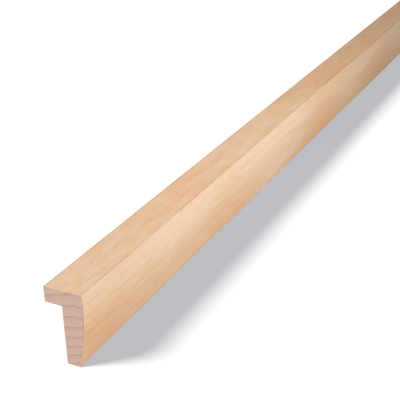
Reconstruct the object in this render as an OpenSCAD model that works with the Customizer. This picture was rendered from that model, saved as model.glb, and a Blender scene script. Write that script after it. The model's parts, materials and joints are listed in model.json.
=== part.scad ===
// Worktop edging strip, moulded from one length of solid beech.
// The strip stands on its foot as it does when it is set down: X runs along the length,
// -Y is the front that faces the room, +Y is the lip that lies on the worktop, Z is up.
// The origin is under the middle of the section's width, at mid length, on the floor.

/* [Stock] */
// Length that the strip is cut to
strip_length = 1000; // [600:50:2400]

/* [Rebate] */
// Thickness of the worktop that the strip edges
worktop_thickness = 28; // [22:1:40]
// How far the foot hangs below the underside of the worktop
foot_drop = 2; // [0:0.5:6]
// How far the lip reaches back over the worktop
lip_reach = 9; // [6:0.5:14]

/* [Section] */
// Thickness of the lip
lip_thickness = 8; // [5:0.5:12]
// Thickness of the web at the top, where it meets the lip
web_thickness = 11; // [9:0.5:14]
// Thickness of the web at the foot
foot_thickness = 7; // [5:0.5:8.5]

/* [Front face] */
// Height of the upright land under the top face
land_height = 8; // [4:0.5:12]
// Radius of the long curve that turns the land into the taper
sweep_radius = 75; // [30:5:80]

/* [Arrises] */
// Rounding of the arris between the top and the front
nose_radius = 1; // [0.2:0.1:2]
// Rounding of the other outside arrises
arris_radius = 0.5; // [0.2:0.1:1.2]

/* [Hidden] */
$fn = 180;

// The rebate is as high as the worktop's edge and the drop below it.
rebate_height = worktop_thickness + foot_drop;
front_height = rebate_height + lip_thickness;
top_width = web_thickness + lip_reach;

// The front leaves the land, follows the sweep and runs straight to the foot.
// The straight part is the tangent from the foot's front corner to the sweep's circle.
land_foot = front_height - land_height;
foot_inset = web_thickness - foot_thickness;
sweep_centre_gap = norm([sweep_radius - foot_inset, land_foot]);
taper_angle = atan2(land_foot, sweep_radius - foot_inset) + asin(sweep_radius / sweep_centre_gap) - 90;
// Height at which the land and the taper would meet in a sharp edge
front_break = foot_inset / tan(taper_angle);

// Corners of the section as [across, up, rounding], with the front at 0 across.
// The rebate's inside corner comes from the cutter's edge and is sharp.
SECTION = [
    [0, front_height, nose_radius],
    [0, front_break, sweep_radius],
    [foot_inset, 0, arris_radius],
    [web_thickness, 0, arris_radius],
    [web_thickness, rebate_height, 0],
    [top_width, rebate_height, arris_radius],
    [top_width, front_height, arris_radius],
];

// How many times its true size the kite at a corner is drawn
KITE_OVERSIZE = 1.1;
// What is added to a rounding's radius, so that it crosses the flats and leaves no hairline step
ROUNDING_OVERLAP = 0.0001;

function place(corner) = [corner[0], corner[1]];
function toward(a, b) = (b - a) / norm(b - a);

// What a rounding takes off a corner: the kite between the two tangent points, the sharp
// corner and the rounding's centre, less the rounding's own circle. The kite is drawn a
// little larger from that centre, so that its outer sides pass clear of the section.
module corner_waste(before, corner, after, radius) {
    to_before = toward(corner, before);
    to_after = toward(corner, after);
    half_angle = acos(to_before * to_after) / 2;
    tangent = radius / tan(half_angle);
    centre = corner + toward([0, 0], to_before + to_after) * radius / sin(half_angle);
    kite = [corner, corner + to_before * tangent, centre, corner + to_after * tangent];
    difference() {
        polygon([for (point = kite) centre + (point - centre) * KITE_OVERSIZE]);
        translate(centre) circle(radius + ROUNDING_OVERLAP);
    }
}

module section() {
    count = len(SECTION);
    difference() {
        polygon([for (corner = SECTION) place(corner)]);
        for (i = [0 : count - 1])
            if (SECTION[i][2] > 0)
                corner_waste(
                    place(SECTION[(i + count - 1) % count]),
                    place(SECTION[i]),
                    place(SECTION[(i + 1) % count]),
                    SECTION[i][2]
                );
    }
}

// The section is carried straight along the length, with both ends sawn square.
module edging_strip() {
    color("burlywood")
        rotate([90, 0, 90])
            linear_extrude(strip_length, center = true)
                translate([-top_width / 2, 0]) section();
}

edging_strip();
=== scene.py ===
import json
import math

import bpy
import numpy as np
from mathutils import Matrix, Vector


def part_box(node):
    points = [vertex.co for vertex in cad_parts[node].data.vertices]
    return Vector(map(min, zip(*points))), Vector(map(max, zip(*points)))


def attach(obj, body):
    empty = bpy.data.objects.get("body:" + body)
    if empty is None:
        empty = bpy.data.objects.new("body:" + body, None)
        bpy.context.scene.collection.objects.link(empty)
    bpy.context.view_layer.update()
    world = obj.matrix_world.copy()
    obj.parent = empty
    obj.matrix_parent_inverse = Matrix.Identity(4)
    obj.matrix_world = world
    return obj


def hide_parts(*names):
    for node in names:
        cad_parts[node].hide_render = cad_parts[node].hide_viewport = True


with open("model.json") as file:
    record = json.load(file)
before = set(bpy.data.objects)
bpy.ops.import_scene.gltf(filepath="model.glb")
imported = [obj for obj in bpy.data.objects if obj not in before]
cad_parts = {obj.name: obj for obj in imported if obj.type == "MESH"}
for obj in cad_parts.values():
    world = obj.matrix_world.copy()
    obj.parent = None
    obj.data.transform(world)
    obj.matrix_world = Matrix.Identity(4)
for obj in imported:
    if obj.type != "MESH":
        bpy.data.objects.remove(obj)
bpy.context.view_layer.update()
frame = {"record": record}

scene = bpy.context.scene
scene.view_settings.view_transform = "Standard"

# the strip's and the wood's lengths are written in millimetres and turned to metres with this,
# and those of the floor, the lamps and the camera are in metres unless a note says otherwise
mm = 0.001
white = (1, 1, 1, 1)


# One sRGB hex colour as linear red, green, blue and alpha
def linearColour(hexColour):
    parts = np.array([int(hexColour[i:i + 2], 16) for i in (1, 3, 5)]) / 255
    linear = np.where(parts <= 0.04045, parts / 12.92, ((parts + 0.055) / 1.055) ** 2.4)
    return (*linear.tolist(), 1.0)


# Adds a node. Settings go to the node itself, to its colour ramp as "stops", or to its inputs
# by name or number. Links join other nodes, or their outputs, to its inputs. A stop is its place
# and then its red, green and blue, and if there are fewer numbers, they are repeated.
def addNode(tree, kind, settings={}, links={}):
    node = tree.nodes.new(kind)
    for key, value in settings.items():
        if key == "stops":
            ramp = node.color_ramp
            while len(ramp.elements) < len(value):
                ramp.elements.new(0.5)
            for element, (place, *shade) in zip(ramp.elements, value):
                element.position = place
                element.color = (*(shade * 3)[:3], 1)
        elif isinstance(key, str) and hasattr(node, key):
            setattr(node, key, value)
        else:
            node.inputs[key].default_value = value
    for key, source in links.items():
        tree.links.new(source.outputs[0] if hasattr(source, "outputs") else source, node.inputs[key])
    return node


# The strip's own surface, which stands for the CAD solid
stripSize = {
    "footThickness": 7.0,  # web at the foot
    "landHeight": 8.0,  # upright band under the top face
    "sweepRadius": 75.0,  # long curve from the band into the taper
    "noseRadius": 1.0,  # arris between the top and the front
    "arrisRadius": 0.5,  # the other outside arrises
    "endEase": 0.15,  # broken edge round the sawn ends
    "noseWear": 0.1,  # how deep handling has flattened the nose where it is worn most
    "noseWearPitch": 70.0,  # distance along the strip between worn places
    # the wear's waves about a half: strength of each, how many to a pitch, and start in radians
    "noseWearWaves": [(0.3, 1.0, 0.0), (0.2, 2.3, 1.0)],
    "shadedArrises": {"nose": 0.18, "foot": 0.2, "lip": 0.5, "back": 0.7},  # how much painted shade darkens each arris
    "shadeWidth": 0.6,  # how far the arrises' painted shade runs out on the flats
    "shadeUpper": 4,  # how closely the nose's painted shade keeps to its upper side, as a power
    "shadeOnEnd": 8,  # how fast the painted shade fades towards the middle of a sawn end, as a power
    "flatStep": 2.0,  # spacing of the points on the flats
    "arcSteps": 8,  # pieces in each small rounding
    "sweepSteps": 14,  # pieces in the long curve
    "lengthSteps": 252,  # rings along the length, a multiple of mapBands
    "easeSteps": 3,  # pieces in the broken edge of an end
    "endRings": 9,  # rings from there to the middle of the sawn face
    "mapBands": 3,  # lengths that the strip's own map is cut into
    "mapGap": 2.0,  # between the pieces of that map
    "mapHidden": 0.65,  # share of its true width that a hidden face has on the map
    "mapFacing": 0.9,  # how far a normal must point down or back for its face to be hidden
    "mapEnds": 2.0,  # how much larger than the rest the sawn ends are on the map
}


def unit(vector):
    return vector / np.linalg.norm(vector)


# Corners of the section as (across, up, rounding, painted shade on the arris), in millimetres and
# anticlockwise seen from the +X end: the nose, the sweep, the foot's two, the rebate's inside corner,
# and the lip's two. The front's straight taper is the tangent from the foot to the sweep's circle.
def sectionCorners(size):
    low, high = (np.array(corner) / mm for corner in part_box("edging_strip"))
    mounts = {mount["name"]: mount["pos_m"] for mount in frame["record"]["mounts"]}
    front, back, top = low[1], high[1], high[2]
    webBack = mounts["web_back"][1] / mm
    lipUnder = mounts["lip_seat"][2] / mm
    inset = (webBack - size["footThickness"]) - front
    landFoot = top - size["landHeight"]
    reach = size["sweepRadius"] - inset
    taper = math.atan2(landFoot, reach) + math.asin(size["sweepRadius"] / math.hypot(reach, landFoot))
    breakHeight = inset / math.tan(taper - math.pi / 2)
    shadeOf = size["shadedArrises"]
    return [
        (front, top, size["noseRadius"], shadeOf["nose"]),
        (front, breakHeight, size["sweepRadius"], 0),
        (front + inset, 0, size["arrisRadius"], shadeOf["foot"]),
        (webBack, 0, size["arrisRadius"], shadeOf["foot"]),
        (webBack, lipUnder, 0, 0),
        (back, lipUnder, size["arrisRadius"], shadeOf["lip"]),
        (back, top, size["arrisRadius"], shadeOf["back"]),
    ]


# Walks round the section. Each corner is an arc that touches both its sides, where the point
# is the arc's centre plus the radius times the outward normal, and each side is a straight run
# between two arcs. Returns the points, the outward normal at the start and at the end of the
# piece that follows each point, how far into the nose each point is, from 0 to 1 at its middle,
# and how much painted shade it has. The nose's painted shade lies along its upper side, and the
# other arrises are shaded as a whole.
def sectionOutline(corners, size):
    places = [np.array(corner[:2]) for corner in corners]
    points, starts, ends, nose, arris = [], [], [], [], []
    count = len(corners)
    for i, (here, corner) in enumerate(zip(places, corners)):
        before = places[i - 1]
        after = places[(i + 1) % count]
        afterNext = places[(i + 2) % count]
        back, forth = unit(here - before), unit(after - here)
        turn = math.atan2(back[0] * forth[1] - back[1] * forth[0], back @ forth)
        radius = corner[2]
        tangent = radius * math.tan(abs(turn) / 2)
        startNormal = np.array([back[1], -back[0]])
        endNormal = np.array([forth[1], -forth[0]])
        isNose, isSweep = i == 0, i == 1
        if radius > 0:
            steps = size["sweepSteps"] if isSweep else size["arcSteps"]
            angle = math.atan2(startNormal[1], startNormal[0]) + np.linspace(0, turn, steps + 1)
            normals = np.stack([np.cos(angle), np.sin(angle)], 1)
            centre = here - back * tangent - radius * startNormal
            points.append(centre + radius * normals[:-1])
            starts.append(normals[:-1])
            ends.append(normals[1:])
            across = np.linspace(0, math.pi, steps + 1)[:-1]
            upper = np.cos(across / 2) ** size["shadeUpper"]
            nose.append(np.sin(across) * isNose)
            arris.append(corner[3] * (upper if isNose else np.ones(steps)))
        nextRadius = corners[(i + 1) % count][2]
        following = unit(afterNext - after)
        nextTurn = math.atan2(forth[0] * following[1] - forth[1] * following[0], forth @ following)
        first = here + forth * tangent
        last = after - forth * nextRadius * math.tan(abs(nextTurn) / 2)
        length = np.linalg.norm(last - first)
        margin = size["shadeWidth"]
        steps = max(1, round((length - 2 * margin) / size["flatStep"])) + 1
        along = np.concatenate([[0], np.linspace(margin, length - margin, steps)])
        points.append(first + forth * along[:, None])
        starts.append(np.repeat(endNormal[None], steps + 1, 0))
        ends.append(np.repeat(endNormal[None], steps + 1, 0))
        nose.append(np.zeros(steps + 1))
        arris.append(corner[3] * (along == 0) * (not isNose))
    return (np.concatenate(part) for part in (points, starts, ends, nose, arris))


# The strip's skin is the section carried along the length. Its two numbers are the ring along
# the strip and the point round the section. A ring's place is the section, drawn in by the
# ring's ease along the normals, then pulled towards the hub by the ring's share, at the ring's x.
# An end's broken edge is a quarter circle in x and ease, and the sawn face runs on to the hub.
def stripSurface(size):
    low, high = (np.array(corner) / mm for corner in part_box("edging_strip"))
    corners = sectionCorners(size)
    outline, startNormal, endNormal, nose, arris = sectionOutline(corners, size)
    around = len(outline)
    mitre = startNormal + np.roll(endNormal, 1, 0)
    mitre = 2 * mitre / (mitre ** 2).sum(1, keepdims=True)
    rebate = np.array(corners[4][:2])
    # a hub that sees the whole outline: in front of the rebate and above the lip's underside
    hub = np.array([(low[1] + rebate[0]) / 2, (rebate[1] + high[2]) / 2])

    ease = size["endEase"]
    quarter = np.linspace(0, math.pi / 2, size["easeSteps"] + 1)[1:]
    pull = np.linspace(0, 1, size["endRings"] + 1)[1:-1]
    body = np.linspace(low[0] + ease, high[0] - ease, size["lengthSteps"] + 1)
    capTurn = np.concatenate([quarter, np.full(len(pull), math.pi / 2)])
    capPull = np.concatenate([0 * quarter, pull])
    capX = ease * np.sin(capTurn)
    ringX = np.concatenate([(body[0] - capX)[::-1], body, body[-1] + capX])
    ringTurn = np.concatenate([capTurn[::-1], 0 * body, capTurn])
    ringPull = np.concatenate([capPull[::-1], 0 * body, capPull])
    ringEnd = np.sign(ringX) * (ringTurn > 0)
    rings = len(ringX)

    # the nose is worn a little flatter here and there, by slow waves
    phase = 2 * math.pi * ringX / size["noseWearPitch"]
    waves = [amount * np.sin(rate * phase + start) for amount, rate, start in size["noseWearWaves"]]
    wear = size["noseWear"] * (0.5 + sum(waves))
    drawnIn = (ease * (1 - np.cos(ringTurn)))[:, None] + wear[:, None] * nose
    section = outline - mitre * drawnIn[..., None]
    section = hub + (section - hub) * (1 - ringPull[:, None, None])
    grid = np.concatenate([np.broadcast_to(ringX[:, None, None], (rings, around, 1)), section], 2)
    tips = np.array([[low[0], *hub], [high[0], *hub]])
    vertices = np.concatenate([grid.reshape(-1, 3), tips]) * mm

    # quads between neighbouring rings, then a fan of triangles round each hub
    ring, point = np.meshgrid(np.arange(rings - 1), np.arange(around), indexing="ij")
    after = (point + 1) % around
    quads = np.stack([ring * around + point, ring * around + after,
                      (ring + 1) * around + after, (ring + 1) * around + point], -1)
    point = np.arange(around)
    after = (point + 1) % around
    last = (rings - 1) * around
    firstFan = np.stack([after, point, np.full(around, rings * around)], 1)
    lastFan = np.stack([last + point, last + after, np.full(around, rings * around + 1)], 1)
    fans = np.concatenate([firstFan, lastFan])
    return {
        "vertices": vertices, "quads": quads.reshape(-1, 4), "fans": fans,
        "ringX": ringX, "ringTurn": ringTurn, "ringPull": ringPull, "ringEnd": ringEnd,
        "capRings": len(capTurn), "outline": outline, "mitre": mitre, "arris": arris, "hub": hub,
        "startNormal": startNormal, "endNormal": endNormal, "rebate": rebate,
    }


# Normals at the faces' corners: the section's own normal times the cosine of the ring's turn,
# plus the end's direction times its sine, so that flats stay flat and roundings are smooth.
def stripNormals(shape):
    turn, side = shape["ringTurn"], shape["ringEnd"]
    rings, around = len(turn), len(shape["outline"])
    starts, ends = (
        np.concatenate([
            np.broadcast_to((side * np.sin(turn))[:, None, None], (rings, around, 1)),
            np.cos(turn)[:, None, None] * normal[None],
        ], 2) for normal in (shape["startNormal"], shape["endNormal"])
    )
    quads = np.stack([starts[:-1], ends[:-1], ends[1:], starts[1:]], 2)
    fans = np.repeat([[-1.0, 0, 0], [1.0, 0, 0]], 3 * around, 0)
    return np.concatenate([quads.reshape(-1, 3), fans])


# The strip's own flat map, at the faces' corners. The skin is cut open along the rebate's inside
# corner and into equal lengths, which lie one above another: u is x within its length, and v is
# the way round the section, where hidden faces count for less. The two sawn ends lie above them
# as they are, u being up and v across, and larger.
def stripMap(shape, size):
    outline, hub, caps = shape["outline"], shape["hub"], shape["capRings"]
    around, rings = len(outline), len(shape["ringX"])
    gap, ease, ends = size["mapGap"], size["endEase"], size["mapEnds"]
    lengths = np.linalg.norm(np.roll(outline, -1, 0) - outline, axis=1)
    normal, facing = shape["startNormal"], size["mapFacing"]
    down = normal[:, 1] < -facing
    inside = (normal[:, 0] > facing) & (outline[:, 1] < shape["rebate"][1])
    lengths = lengths * np.where(down | inside, size["mapHidden"], 1)
    cut = np.argmin(np.linalg.norm(outline - shape["rebate"], axis=1))
    order = (cut + np.arange(around)) % around
    way = np.concatenate([[0], np.cumsum(lengths[order])])
    start, end = np.empty(around), np.empty(around)
    start[order], end[order] = way[:-1], way[1:]

    # the long faces
    bodyX = shape["ringX"][caps:rings - caps]
    perBand = size["lengthSteps"] // size["mapBands"]
    step = np.arange(size["lengthSteps"])
    band = step // perBand
    left = gap + bodyX[step] - bodyX[band * perBand]
    right = gap + bodyX[step + 1] - bodyX[band * perBand]
    lift = gap + band * (way[-1] + gap)
    body = np.stack([
        np.stack(np.broadcast_arrays(u[:, None], lift[:, None] + v[None]), -1)
        for u, v in ((left, start), (left, end), (right, end), (right, start))
    ], 2)

    # the sawn ends, whose broken edge is laid out flat round them
    low = outline.min(0) - ease
    inset = ease * (1 - math.pi / 2) + ease * shape["ringTurn"]
    spread = outline - shape["mitre"] * inset[:, None, None]
    spread = hub + (spread - hub) * (1 - shape["ringPull"][:, None, None])
    endBase = gap + size["mapBands"] * (way[-1] + gap)
    endWidth = ends * np.ptp(outline[:, 1]) + 2 * ends * ease + gap
    place = ends * (spread - low)[..., ::-1] + np.array([gap, endBase])
    tip = ends * (hub - low)[::-1] + np.array([gap, endBase])
    following = np.roll(place, -1, 1)
    sides = np.stack([place[:-1], following[:-1], following[1:], place[1:]], 2)
    shift = np.array([endWidth, 0])
    quads = np.concatenate([sides[:caps], body, sides[-caps:] + shift])
    first = np.stack([following[0], place[0], np.broadcast_to(tip, (around, 2))], 1)
    last = np.stack([place[-1], following[-1], np.broadcast_to(tip, (around, 2))], 1) + shift
    flat = np.concatenate([part.reshape(-1, 2) for part in (quads, first, last)])
    return flat / (flat.max() + gap)


def makeStrip(size):
    shape = stripSurface(size)
    mesh = bpy.data.meshes.new("edging_strip_beech")
    faces = shape["quads"].tolist() + shape["fans"].tolist()
    mesh.from_pydata(shape["vertices"].tolist(), [], faces)
    mesh.shade_smooth()
    mesh.uv_layers.new(name="OFBake").uv.foreach_set("vector", stripMap(shape, size).ravel())
    mesh.normals_split_custom_set(stripNormals(shape).tolist())
    # painted shade on the arrises, which fades fast towards the middle of a sawn end
    worn = np.concatenate([np.tile(shape["arris"], len(shape["ringX"])), [0, 0]])
    worn[:-2] *= np.repeat(1 - shape["ringPull"], len(shape["arris"])) ** size["shadeOnEnd"]
    mesh.attributes.new("arris", "FLOAT", "POINT").data.foreach_set("value", worn)
    piece = bpy.data.objects.new("edging_strip_beech", mesh)
    scene.collection.objects.link(piece)
    return piece


strip = makeStrip(stripSize)
print("strip made,", len(strip.data.polygons), "faces")


# Steamed beech, planed and left bare. It gives the eye a pale pinkish tan, even and fine, with
# slow patches of paler and more orange wood, close lengthwise streaks, and the short brown
# dashes of the rays. A sawn end is duller and pinker, with the growth rings as thin dark lines
# and the rays as finer lines across them. The pattern is solid, as in the tree: it is worked out
# from how far a point lies along the trunk, round it and out from its pith, all in millimetres.
beech = {
    "pith": (-24.7, -52.1),  # centre of the growth rings, across and up
    "firstRadius": 57.9,  # radius of the innermost ring line in the section
    "firstWidth": 4.0,  # width of the ring outside it
    "widening": 0.055,  # how much wider the rings are for each millimetre further out
    "armRadius": 75.0,  # radius at which a distance round the trunk is true
    "endX": -500.0,  # sawn end whose rings lie as given
    "swellPitch": 110.0,  # length of one swell of the wavy grain
    "swellDepth": 1.0,  # how far the rings move in it
    "wanderSize": (220.0, 60.0, 60.0),  # slow bends of the rings, along, across and up
    "wander": 0.7,  # how far they move the rings
    "jitterSize": (60.0, 5.0, 5.0),  # unevenness of the ring lines, along, round and out
    "jitter": 0.22,  # in rings
    "ringSpan": 8.0,  # rings that the tones below run over
    # tones of the years, counted outwards as shares of that span: the place, how orange the wood
    # is there, and how far the close patches pale it
    "years": [(0.0, 0.85, 0.28), (0.18, 0.7, 0.32), (0.42, 0.52, 0.3), (0.56, 0.34, 0.22),
              (0.7, 0.16, 0.16), (0.86, 0.12, 0.12), (1.0, 0.12, 0.12)],
    "flatFacing": (0.5, 0.9),  # upright part of a normal where the flat cut begins, and is full
    "flatCut": 0.47,  # how much more orange the wood is where it is cut along the rings
    "falloffTint": 0.001,  # painted: how much more orange pale years get for each millimetre along the strip, standing in for the far end's dimmer light
    "falloffTintX": -300.0,  # where that is nothing
    "driftSize": (50.0, 20.0, 9.0),  # unevenness of the borders between those tones
    "drift": 1.2,  # in rings
    # darkening of the wood through one year's growth
    "season": [(0.0, 0.5), (0.06, 0.0), (0.5, 0.1), (0.82, 0.4), (0.96, 1.0)],
    # two waves of paler patches, a close one on the faces cut across the rings and a slow one on
    # all: the distance between patches, the middle of one, and how far blotches shift them
    "patches": [(150.0, -428.0, 1.6), (300.0, -305.0, 0.8)],
    "slowPatch": 0.15,  # how far the slow one pales the wood
    "blotchSize": (75.0, 26.0, 12.0),
    "blotch": 0.6,  # how far blotches change the tone from lightest to darkest, like the next two
    "streakSize": (110.0, 2.5, 2.5),
    "streak": 0.25,
    "fleckSize": (13.0, 2.6, 2.6),  # short clouded marks
    "fleck": 0.55,
    "mottleSize": (16.0, 4.5, 4.5),  # a mottling, which shows most where the cut is flat
    "mottle": 0.1,
    "mottleOnFlatCut": 0.6,
    "fibreSize": (9.0, 0.5, 0.5),  # real fibres are 0.02 mm, drawn coarser so that they show
    "fibre": 0.15,
    "rosySize": (45.0, 15.6, 7.2),  # pinker places
    # where each kind of cloud begins, so that no two are alike, and how fine its detail goes
    "clouds": {"drift": (5.0, 2.0), "blotch": (3.0, 2.0), "streak": (11.0, 3.0),
               "fleck": (23.0, 3.0), "mottle": (17.0, 3.0), "fibre": (31.0, 2.0),
               "rosy": (47.0, 2.0), "worn": (61.0, 2.0)},
    "cloudSpan": (0.25, 0.75),  # the noise's values that are stretched to 0 and 1
    "raySize": (6.0, 0.8, 3.0),  # cell that holds one broad ray, 3 mm long and 0.4 mm thick
    "rayEdge": (0.16, 0.3),  # distance from the cell's seed where the ray is full, and where it ends
    "fineRaySize": (3.6, 0.6, 16.0),  # and one fine ray, which runs on outwards
    "fineRayEdge": (0.12, 0.34),
    "fineRay": 0.5,  # strength of a fine ray beside a broad one
    "rayOnFront": 0.35,  # share of the rays' darkness where they are cut lengthwise
    "pale": "#edd1b2",
    "orange": "#e8b789",
    "pink": "#e8bda9",
    "pinkShare": 0.15,
    "late": "#c2916b",
    "lateShare": 0.1,
    "lateBroken": (0.3, 1.7),  # multiples of that between streaks, and in the middle of one
    "ray": "#ad7548",
    "rayShare": 0.32,
    "sawn": "#d7b6a5",
    "sawnLine": "#9d8179",
    "sawnLineShare": 0.42,
    "sawnRays": 1.0,  # share of the lines' darkness that the rays have on a sawn end
    "endFacing": (0.55, 0.85),  # lengthwise part of a normal where an end begins, and is full
    "worn": "#8c7a6e",  # colour of the painted shade along the arrises
    "edgeShadeShare": 0.85,
    "edgeShadeLeast": 0.05,  # share of that where the painted shade is lightest
    # size of the patches along the arrises' painted shade
    "wornSize": (30.0, 8.0, 8.0),
    "specular": 0.1,  # bare planed wood has a weak gloss
    "roughness": 0.6,
    "rayGloss": 0.14,  # how much smoother the rays are
    "sawnRoughness": 0.8,
    "sawPitch": 1.6,  # marks of the saw across the ends
    "sawWander": 5.0,  # how far flecks bend them, in radians
    "sawDepth": 0.015,
    "grainDepth": 0.04,  # relief of the planed faces
    "ringRelief": 0.5,  # height of the late wood in it beside that of the fibres
}


# The growth rings. A point's distance from the pith swells and bends slowly along the trunk. The
# ring's number is the logarithm, to the base of e to the widening, of one plus the widening times
# the distance past the first ring over that ring's width, because each ring is wider than the
# last by the same share.
def addTrunk(tree, look):
    place = addNode(tree, "ShaderNodeTexCoord")
    trunk = addNode(tree, "ShaderNodeMapping", {
        "Location": (0, -look["pith"][0], -look["pith"][1]), "Scale": (1 / mm, 1 / mm, 1 / mm),
    }, {"Vector": place.outputs["Object"]})
    slow = addNode(tree, "ShaderNodeVectorMath", {
        "operation": "DIVIDE", 1: look["wanderSize"],
    }, {0: trunk})
    bend = addNode(tree, "ShaderNodeTexNoise", {"Scale": 1.0, "Detail": 1.0}, {"Vector": slow})
    centred = addNode(tree, "ShaderNodeVectorMath", {"operation": "SUBTRACT", 1: (0.5, 0.5, 0.5)}, {
        0: bend.outputs["Color"],
    })
    across = addNode(tree, "ShaderNodeVectorMath", {
        "operation": "MULTIPLY_ADD", 1: (0, 2 * look["wander"], 2 * look["wander"]),
    }, {0: centred, 2: trunk})
    parts = addNode(tree, "ShaderNodeSeparateXYZ", {}, {0: across})
    flat = addNode(tree, "ShaderNodeVectorMath", {"operation": "MULTIPLY", 1: (0, 1, 1)}, {0: across})
    far = addNode(tree, "ShaderNodeVectorMath", {"operation": "LENGTH"}, {0: flat})
    turns = 2 * math.pi / look["swellPitch"]
    phase = addNode(tree, "ShaderNodeMath", {
        "operation": "MULTIPLY_ADD", 1: turns, 2: -turns * look["endX"],
    }, {0: parts.outputs["X"]})
    wave = addNode(tree, "ShaderNodeMath", {"operation": "COSINE"}, {0: phase})
    swell = addNode(tree, "ShaderNodeMath", {
        "operation": "MULTIPLY_ADD", 1: -look["swellDepth"] / 2, 2: look["swellDepth"] / 2,
    }, {0: wave})
    radius = addNode(tree, "ShaderNodeMath", {"operation": "ADD"}, {0: far.outputs["Value"], 1: swell})
    angle = addNode(tree, "ShaderNodeMath", {"operation": "ARCTAN2"}, {
        0: parts.outputs["Z"], 1: parts.outputs["Y"],
    })
    arc = addNode(tree, "ShaderNodeMath", {"operation": "MULTIPLY", 1: look["armRadius"]}, {0: angle})
    along = addNode(tree, "ShaderNodeCombineXYZ", {}, {0: parts.outputs["X"], 1: arc, 2: radius})

    growth = look["widening"] / look["firstWidth"]
    past = addNode(tree, "ShaderNodeMath", {
        "operation": "MULTIPLY_ADD", 1: growth, 2: 1 - growth * look["firstRadius"],
    }, {0: radius})
    number = addNode(tree, "ShaderNodeMath", {
        "operation": "LOGARITHM", 1: math.exp(look["widening"]),
    }, {0: past})
    close = addNode(tree, "ShaderNodeVectorMath", {
        "operation": "DIVIDE", 1: look["jitterSize"],
    }, {0: along})
    uneven = addNode(tree, "ShaderNodeTexNoise", {"Scale": 1.0, "Detail": 2.0}, {"Vector": close})
    moved = addNode(tree, "ShaderNodeMath", {
        "operation": "MULTIPLY_ADD", 1: 2 * look["jitter"], 2: -look["jitter"],
    }, {0: uneven})
    return along, addNode(tree, "ShaderNodeMath", {"operation": "ADD"}, {0: number, 1: moved})


# Cloudy noise over cells of the named size, from 0 to 1 and even about a half
def addCloud(tree, along, look, name):
    start, detail = look["clouds"][name]
    least, most = look["cloudSpan"]
    cells = addNode(tree, "ShaderNodeVectorMath", {
        "operation": "DIVIDE", 1: look[name + "Size"],
    }, {0: along})
    moved = addNode(tree, "ShaderNodeVectorMath", {"operation": "ADD", 1: [start] * 3}, {0: cells})
    noise = addNode(tree, "ShaderNodeTexNoise", {"Scale": 1.0, "Detail": detail}, {"Vector": moved})
    return addNode(tree, "ShaderNodeMapRange", {"From Min": least, "From Max": most}, {"Value": noise})


# Rays: the middles of stretched cells, where the distance to the cell's seed is small. Each has a
# strength of its own.
def addRays(tree, along, size, edges):
    core, edge = edges
    cells = addNode(tree, "ShaderNodeVectorMath", {"operation": "DIVIDE", 1: size}, {0: along})
    seeds = addNode(tree, "ShaderNodeTexVoronoi", {"Scale": 1.0}, {"Vector": cells})
    near = addNode(tree, "ShaderNodeMapRange", {
        "interpolation_type": "SMOOTHSTEP", "From Min": edge, "From Max": core,
    }, {"Value": seeds.outputs["Distance"]})
    own = addNode(tree, "ShaderNodeSeparateColor", {}, {0: seeds.outputs["Color"]})
    return addNode(tree, "ShaderNodeMath", {"operation": "MULTIPLY"}, {0: near, 1: own.outputs["Red"]})


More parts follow.
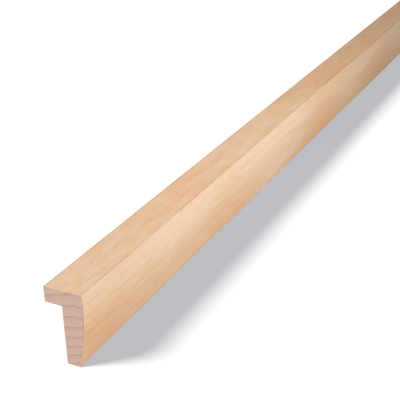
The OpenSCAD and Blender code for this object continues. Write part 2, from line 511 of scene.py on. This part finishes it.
def makeBeech(look):
    material = bpy.data.materials.new("planed_beech")
    material.use_nodes = True
    tree = material.node_tree
    tree.nodes.clear()
    along, number = addTrunk(tree, look)

    # the year's own tone, and where in the year's growth the point lies
    drift = addCloud(tree, along, look, "drift")
    driftShare = look["drift"] / look["ringSpan"]
    drifted = addNode(tree, "ShaderNodeMath", {
        "operation": "MULTIPLY_ADD", 1: driftShare, 2: -driftShare / 2,
    }, {0: drift})
    ringShare = addNode(tree, "ShaderNodeMath", {
        "operation": "MULTIPLY_ADD", 1: 1 / look["ringSpan"],
    }, {0: number, 2: drifted})
    years = addNode(tree, "ShaderNodeValToRGB", {"stops": look["years"]}, {0: ringShare})
    year = addNode(tree, "ShaderNodeSeparateColor", {}, {0: years})
    share = addNode(tree, "ShaderNodeMath", {"operation": "FRACT"}, {0: number})
    season = addNode(tree, "ShaderNodeValToRGB", {"stops": look["season"]}, {0: share})

    # how far a face is cut along the rings, as the top is, rather than across them like the front
    place = addNode(tree, "ShaderNodeTexCoord")
    facing = addNode(tree, "ShaderNodeSeparateXYZ", {}, {0: place.outputs["Normal"]})
    upright = addNode(tree, "ShaderNodeMath", {"operation": "ABSOLUTE"}, {0: facing.outputs["Z"]})
    begins, full = look["flatFacing"]
    flatCut = addNode(tree, "ShaderNodeMapRange", {"From Min": begins, "From Max": full}, {
        "Value": upright,
    })

    # patches: waves along the strip, whose phase is shifted by blotches
    parts = addNode(tree, "ShaderNodeSeparateXYZ", {}, {0: along})
    blotch = addCloud(tree, along, look, "blotch")
    waves = []
    for pitch, crest, shift in look["patches"]:
        turns = 2 * math.pi / pitch
        phase = addNode(tree, "ShaderNodeMath", {
            "operation": "MULTIPLY_ADD", 1: turns, 2: -turns * crest - shift / 2,
        }, {0: parts.outputs["X"]})
        shifted = addNode(tree, "ShaderNodeMath", {"operation": "MULTIPLY_ADD", 1: shift}, {
            0: blotch, 2: phase,
        })
        waves.append(addNode(tree, "ShaderNodeMath", {"operation": "COSINE"}, {0: shifted}))
    patch = addNode(tree, "ShaderNodeMath", {"operation": "MULTIPLY"}, {
        0: waves[0], 1: year.outputs["Green"],
    })
    patch = addNode(tree, "ShaderNodeMix", {"data_type": "FLOAT", 3: 0.0}, {0: flatCut, 2: patch})
    patch = addNode(tree, "ShaderNodeMath", {"operation": "MULTIPLY_ADD", 1: look["slowPatch"]}, {
        0: waves[1], 2: patch,
    })
    unpatched = addNode(tree, "ShaderNodeMath", {"operation": "MULTIPLY_ADD", 1: look["flatCut"]}, {
        0: flatCut, 2: year.outputs["Red"],
    })
    # pale years are painted more orange towards the far end, standing in for the dimmer light there
    falloffTinted = addNode(tree, "ShaderNodeMath", {
        "operation": "MULTIPLY_ADD", 1: look["falloffTint"], 2: -look["falloffTint"] * look["falloffTintX"],
    }, {0: parts.outputs["X"]})
    paleYear = addNode(tree, "ShaderNodeMath", {"operation": "SUBTRACT", 0: 1.0}, {
        1: year.outputs["Red"],
    })
    toned = addNode(tree, "ShaderNodeMath", {"operation": "SUBTRACT"}, {0: unpatched, 1: patch})
    toned = addNode(tree, "ShaderNodeMath", {"operation": "MULTIPLY_ADD"}, {
        0: falloffTinted, 1: paleYear, 2: toned,
    })

    # mottling, streaks and flecks on top of the patches
    streak, fleck, fibre, mottle = (
        addCloud(tree, along, look, name) for name in ("streak", "fleck", "fibre", "mottle")
    )
    mottleShare = addNode(tree, "ShaderNodeMapRange", {
        "To Min": look["mottle"], "To Max": look["mottleOnFlatCut"],
    }, {"Value": flatCut})
    aboutZero = addNode(tree, "ShaderNodeMath", {"operation": "SUBTRACT", 1: 0.5}, {0: mottle})
    tone = addNode(tree, "ShaderNodeMath", {"operation": "MULTIPLY_ADD"}, {
        0: aboutZero, 1: mottleShare, 2: toned,
    })
    for cloud, amount in ((blotch, look["blotch"]), (streak, look["streak"]), (fleck, look["fleck"])):
        change = addNode(tree, "ShaderNodeMath", {
            "operation": "MULTIPLY_ADD", 1: amount, 2: -amount / 2,
        }, {0: cloud})
        tone = addNode(tree, "ShaderNodeMath", {"operation": "ADD"}, {0: tone, 1: change})
    wood = addNode(tree, "ShaderNodeMix", {
        "data_type": "RGBA", 6: linearColour(look["pale"]), 7: linearColour(look["orange"]),
    }, {0: tone})
    rosy = addCloud(tree, along, look, "rosy")
    rosyShare = addNode(tree, "ShaderNodeMath", {
        "operation": "MULTIPLY", 1: look["pinkShare"],
    }, {0: rosy})
    wood = addNode(tree, "ShaderNodeMix", {
        "data_type": "RGBA", 7: linearColour(look["pink"]),
    }, {0: rosyShare, 6: wood.outputs[2]})

    # darker late wood, deeper where a streak passes
    between, within = (look["lateShare"] * multiple for multiple in look["lateBroken"])
    broken = addNode(tree, "ShaderNodeMapRange", {"To Min": between, "To Max": within}, {
        "Value": streak,
    })
    lateShare = addNode(tree, "ShaderNodeMath", {"operation": "MULTIPLY"}, {0: season, 1: broken})
    fibreShare = addNode(tree, "ShaderNodeMath", {"operation": "MULTIPLY_ADD", 1: look["fibre"]}, {
        0: fibre, 2: lateShare,
    })
    wood = addNode(tree, "ShaderNodeMix", {
        "data_type": "RGBA", 7: linearColour(look["late"]),
    }, {0: fibreShare, 6: wood.outputs[2]})

    # the rays, darkest where the face cuts across them, as the top does
    broad = addRays(tree, along, look["raySize"], look["rayEdge"])
    fine = addRays(tree, along, look["fineRaySize"], look["fineRayEdge"])
    rays = addNode(tree, "ShaderNodeMath", {"operation": "MULTIPLY_ADD", 1: look["fineRay"]}, {
        0: fine, 2: broad,
    })
    across = addNode(tree, "ShaderNodeMapRange", {
        "To Min": look["rayShare"] * look["rayOnFront"], "To Max": look["rayShare"],
    }, {"Value": flatCut})
    rayShare = addNode(tree, "ShaderNodeMath", {"operation": "MULTIPLY"}, {0: rays, 1: across})
    wood = addNode(tree, "ShaderNodeMix", {
        "data_type": "RGBA", 7: linearColour(look["ray"]),
    }, {0: rayShare, 6: wood.outputs[2]})

    # the sawn ends, told from the long faces by their normal
    ahead = addNode(tree, "ShaderNodeMath", {"operation": "ABSOLUTE"}, {0: facing.outputs["X"]})
    begins, full = look["endFacing"]
    isEnd = addNode(tree, "ShaderNodeMapRange", {"From Min": begins, "From Max": full}, {
        "Value": ahead,
    })
    lines = addNode(tree, "ShaderNodeMath", {
        "operation": "MULTIPLY_ADD", 1: look["sawnRays"],
    }, {0: fine, 2: season})
    lineShare = addNode(tree, "ShaderNodeMath", {
        "operation": "MULTIPLY", 1: look["sawnLineShare"],
    }, {0: lines})
    sawn = addNode(tree, "ShaderNodeMix", {
        "data_type": "RGBA", 6: linearColour(look["sawn"]), 7: linearColour(look["sawnLine"]),
    }, {0: lineShare})
    colour = addNode(tree, "ShaderNodeMix", {"data_type": "RGBA"}, {
        0: isEnd, 6: wood.outputs[2], 7: sawn.outputs[2],
    })

    # painted shade along the arrises, patchy along their length
    arris = addNode(tree, "ShaderNodeAttribute", {"attribute_name": "arris"})
    patchy = addNode(tree, "ShaderNodeMapRange", {
        "To Min": look["edgeShadeLeast"] * look["edgeShadeShare"], "To Max": look["edgeShadeShare"],
    }, {"Value": addCloud(tree, along, look, "worn")})
    edgeShadeShare = addNode(tree, "ShaderNodeMath", {"operation": "MULTIPLY"}, {
        0: arris.outputs["Fac"], 1: patchy,
    })
    colour = addNode(tree, "ShaderNodeMix", {
        "data_type": "RGBA", 7: linearColour(look["worn"]),
    }, {0: edgeShadeShare, 6: colour.outputs[2]})

    # rays are glossier, and the ends are duller
    planed = addNode(tree, "ShaderNodeMath", {
        "operation": "MULTIPLY_ADD", 1: -look["rayGloss"], 2: look["roughness"],
    }, {0: rays})
    roughness = addNode(tree, "ShaderNodeMix", {"data_type": "FLOAT", 3: look["sawnRoughness"]}, {
        0: isEnd, 2: planed,
    })

    # relief: fibres and rings on the planed faces, the saw's marks across the ends
    relief = addNode(tree, "ShaderNodeMath", {
        "operation": "MULTIPLY_ADD", 1: look["ringRelief"],
    }, {0: season, 2: fibre})
    grained = addNode(tree, "ShaderNodeBump", {"Distance": look["grainDepth"] * mm}, {"Height": relief})
    sawTurns = 2 * math.pi / look["sawPitch"]
    straight = addNode(tree, "ShaderNodeMath", {"operation": "MULTIPLY", 1: sawTurns}, {
        0: parts.outputs["Z"],
    })
    sawPhase = addNode(tree, "ShaderNodeMath", {
        "operation": "MULTIPLY_ADD", 1: look["sawWander"],
    }, {0: fleck, 2: straight})
    sawWave = addNode(tree, "ShaderNodeMath", {"operation": "SINE"}, {0: sawPhase})
    scored = addNode(tree, "ShaderNodeBump", {"Distance": look["sawDepth"] * mm}, {"Height": sawWave})
    normal = addNode(tree, "ShaderNodeMix", {"data_type": "VECTOR"}, {0: isEnd, 4: grained, 5: scored})

    shader = addNode(tree, "ShaderNodeBsdfPrincipled", {"Specular IOR Level": look["specular"]}, {
        "Base Color": colour.outputs[2], "Roughness": roughness, "Normal": normal.outputs[1],
    })
    addNode(tree, "ShaderNodeOutputMaterial", {}, {"Surface": shader})
    return material


strip.data.materials.append(makeBeech(beech))
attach(strip, "root")
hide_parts("edging_strip")
print("beech made")


# The pale floor, matt. What is seen of it, by the camera or in a gloss, is set apart from the
# light that it sends back to the strip, so that it is white with a grey shadow, and the strip's
# shaded side isn't flooded.
stageLook = {
    "floorSize": 8.0,  # metres
    "floorGap": 0.2,  # mm below the foot
    "bounce": 0.03,  # share of the sun's light that the floor sends back to the strip
    "bounceGlow": 0.38,  # and an even light besides
    "seen": 0.12,  # share of the sun's light that is seen on the floor
    "seenGlow": "#b4b6bd",  # and the shade that it has even in the shadow
}


# The rays that are shown the white surroundings: the camera's own, and those that come off gloss
# or through glass. All others meet the plain light instead.
def addShownRay(tree):
    path = addNode(tree, "ShaderNodeLightPath")
    offShine = addNode(tree, "ShaderNodeMath", {"operation": "MAXIMUM"}, {
        0: path.outputs["Is Glossy Ray"], 1: path.outputs["Is Transmission Ray"],
    })
    return addNode(tree, "ShaderNodeMath", {"operation": "MAXIMUM"}, {
        0: path.outputs["Is Camera Ray"], 1: offShine,
    })


def makeFloor(look):
    half = look["floorSize"] / 2
    mesh = bpy.data.meshes.new("floor")
    corners = [(-half, -half, 0), (half, -half, 0), (half, half, 0), (-half, half, 0)]
    mesh.from_pydata(corners, [], [(0, 1, 2, 3)])
    mesh.transform(Matrix.Translation((0, 0, -look["floorGap"] * mm)))
    floor = bpy.data.objects.new("floor", mesh)
    scene.collection.objects.link(floor)
    material = bpy.data.materials.new("pale_floor")
    material.use_nodes = True
    tree = material.node_tree
    tree.nodes.clear()
    matt = addNode(tree, "ShaderNodeBsdfDiffuse", {"Color": (*[look["bounce"]] * 3, 1)})
    even = addNode(tree, "ShaderNodeEmission", {"Color": white, "Strength": look["bounceGlow"]})
    sentBack = addNode(tree, "ShaderNodeAddShader", {}, {0: matt, 1: even})
    # what the light adds to the shadow's shade is that shade's complement, so that both end white
    glow = linearColour(look["seenGlow"])
    added = [look["seen"] * (1 - part) / (1 - glow[0]) for part in glow[:3]]
    matt = addNode(tree, "ShaderNodeBsdfDiffuse", {"Color": (*added, 1)})
    even = addNode(tree, "ShaderNodeEmission", {"Color": glow})
    seen = addNode(tree, "ShaderNodeAddShader", {}, {0: matt, 1: even})
    lit = addNode(tree, "ShaderNodeMixShader", {}, {0: addShownRay(tree), 1: sentBack, 2: seen})
    # from below the floor is clear, so that the underside can be looked at
    path = addNode(tree, "ShaderNodeLightPath")
    side = addNode(tree, "ShaderNodeNewGeometry")
    below = addNode(tree, "ShaderNodeMath", {"operation": "MULTIPLY"}, {
        0: path.outputs["Is Camera Ray"], 1: side.outputs["Backfacing"],
    })
    clear = addNode(tree, "ShaderNodeBsdfTransparent")
    shown = addNode(tree, "ShaderNodeMixShader", {}, {0: below, 1: lit, 2: clear})
    addNode(tree, "ShaderNodeOutputMaterial", {}, {"Surface": shown})
    mesh.materials.append(material)
    return floor


floor = makeFloor(stageLook)

# Even light from all round, two softboxes that light the strip alone, one in front of it and one
# behind its near end, two soft spots on its far half, which the camera doesn't see, and a sun
# that lights the floor alone and so draws the shadow on it
lampLook = {
    "sky": 0.29,  # strength of the even light
    "sunTravel": (0.6, -0.63, -1.0),  # way that the floor's sun shines
    "sunPower": 19.5,
    "sunAngle": 18.0,  # degrees across, which softens the shadow's edge
    "boxes": {  # for each softbox its place, its aim, its power and its side
        "front_softbox": ((-0.28, -0.42, 0.28), (-0.75, 0.0, 0.02), 2.42, 0.25),
        "back_softbox": ((-1.19, 0.88, 0.48), (-0.26, 0.0, 0.02), 14.1, 0.4),
    },
    "spots": {  # for each spot its place, its aim and its power
        "far_front_spot": ((0.45, -0.85, 0.80), (0.36, 0.0, 0.02), 28.0),
        "far_back_spot": ((0.45, 0.85, 0.80), (0.36, 0.0, 0.02), 20.0),
    },
    "spotWidth": 26.0,  # degrees
    "spotBlend": 0.8,  # share of the spot that fades out
    "spotRadius": 0.1,  # of the lamp, which softens its shadows
}


def addLamp(name, kind, settings, place, aim, target):
    lamp = bpy.data.lights.new(name, kind)
    for key, value in settings.items():
        setattr(lamp, key, value)
    holder = bpy.data.objects.new(name, lamp)
    turned = (Vector(aim) - Vector(place)).to_track_quat("-Z", "Y").to_matrix().to_4x4()
    holder.matrix_world = Matrix.Translation(place) @ turned
    holder.visible_camera = False
    scene.collection.objects.link(holder)
    lit = bpy.data.collections.new("lit_by_" + name)
    lit.objects.link(target)
    holder.light_linking.receiver_collection = lit


def makeLight(look):
    world = bpy.data.worlds.new("studio")
    scene.world = world
    world.use_nodes = True
    tree = world.node_tree
    tree.nodes.clear()
    even = addNode(tree, "ShaderNodeBackground", {"Color": white, "Strength": look["sky"]})
    backdrop = addNode(tree, "ShaderNodeBackground", {"Color": white, "Strength": 1.0})
    shown = addNode(tree, "ShaderNodeMixShader", {}, {0: addShownRay(tree), 1: even, 2: backdrop})
    addNode(tree, "ShaderNodeOutputWorld", {}, {"Surface": shown})

    addLamp("floor_sun", "SUN", {
        "energy": look["sunPower"], "angle": math.radians(look["sunAngle"]),
    }, (0, 0, 0), look["sunTravel"], floor)
    for name, (place, aim, power, side) in look["boxes"].items():
        addLamp(name, "AREA", {"energy": power, "shape": "SQUARE", "size": side}, place, aim, strip)
    for name, (place, aim, power) in look["spots"].items():
        addLamp(name, "SPOT", {
            "energy": power, "spot_size": math.radians(look["spotWidth"]),
            "spot_blend": look["spotBlend"], "shadow_soft_size": look["spotRadius"],
        }, place, aim, strip)


makeLight(lampLook)
print("floor and lamps made")

# The camera, solved from the strip's long edges and its sawn end
cameraLook = {
    "place": (-0.7495, -0.1968, 0.2338),
    "towards": (0.7957, 0.4142, -0.442),
    "roll": -1.05,  # degrees
    "lens": 77.59,  # mm, like the sensor
    "sensor": 36.0,
    "nearest": 0.01,  # what is closer or further than these isn't drawn
    "furthest": 50.0,
}


def makeCamera(look):
    data = bpy.data.cameras.new("camera")
    data.lens = look["lens"]
    data.sensor_width = look["sensor"]
    data.clip_start = look["nearest"]
    data.clip_end = look["furthest"]
    camera = bpy.data.objects.new("camera", data)
    level = Vector(look["towards"]).to_track_quat("-Z", "Y")
    roll = Matrix.Rotation(math.radians(look["roll"]), 4, "Z")
    camera.matrix_world = Matrix.Translation(look["place"]) @ level.to_matrix().to_4x4() @ roll
    scene.collection.objects.link(camera)
    scene.camera = camera


makeCamera(cameraLook)
print("camera made")
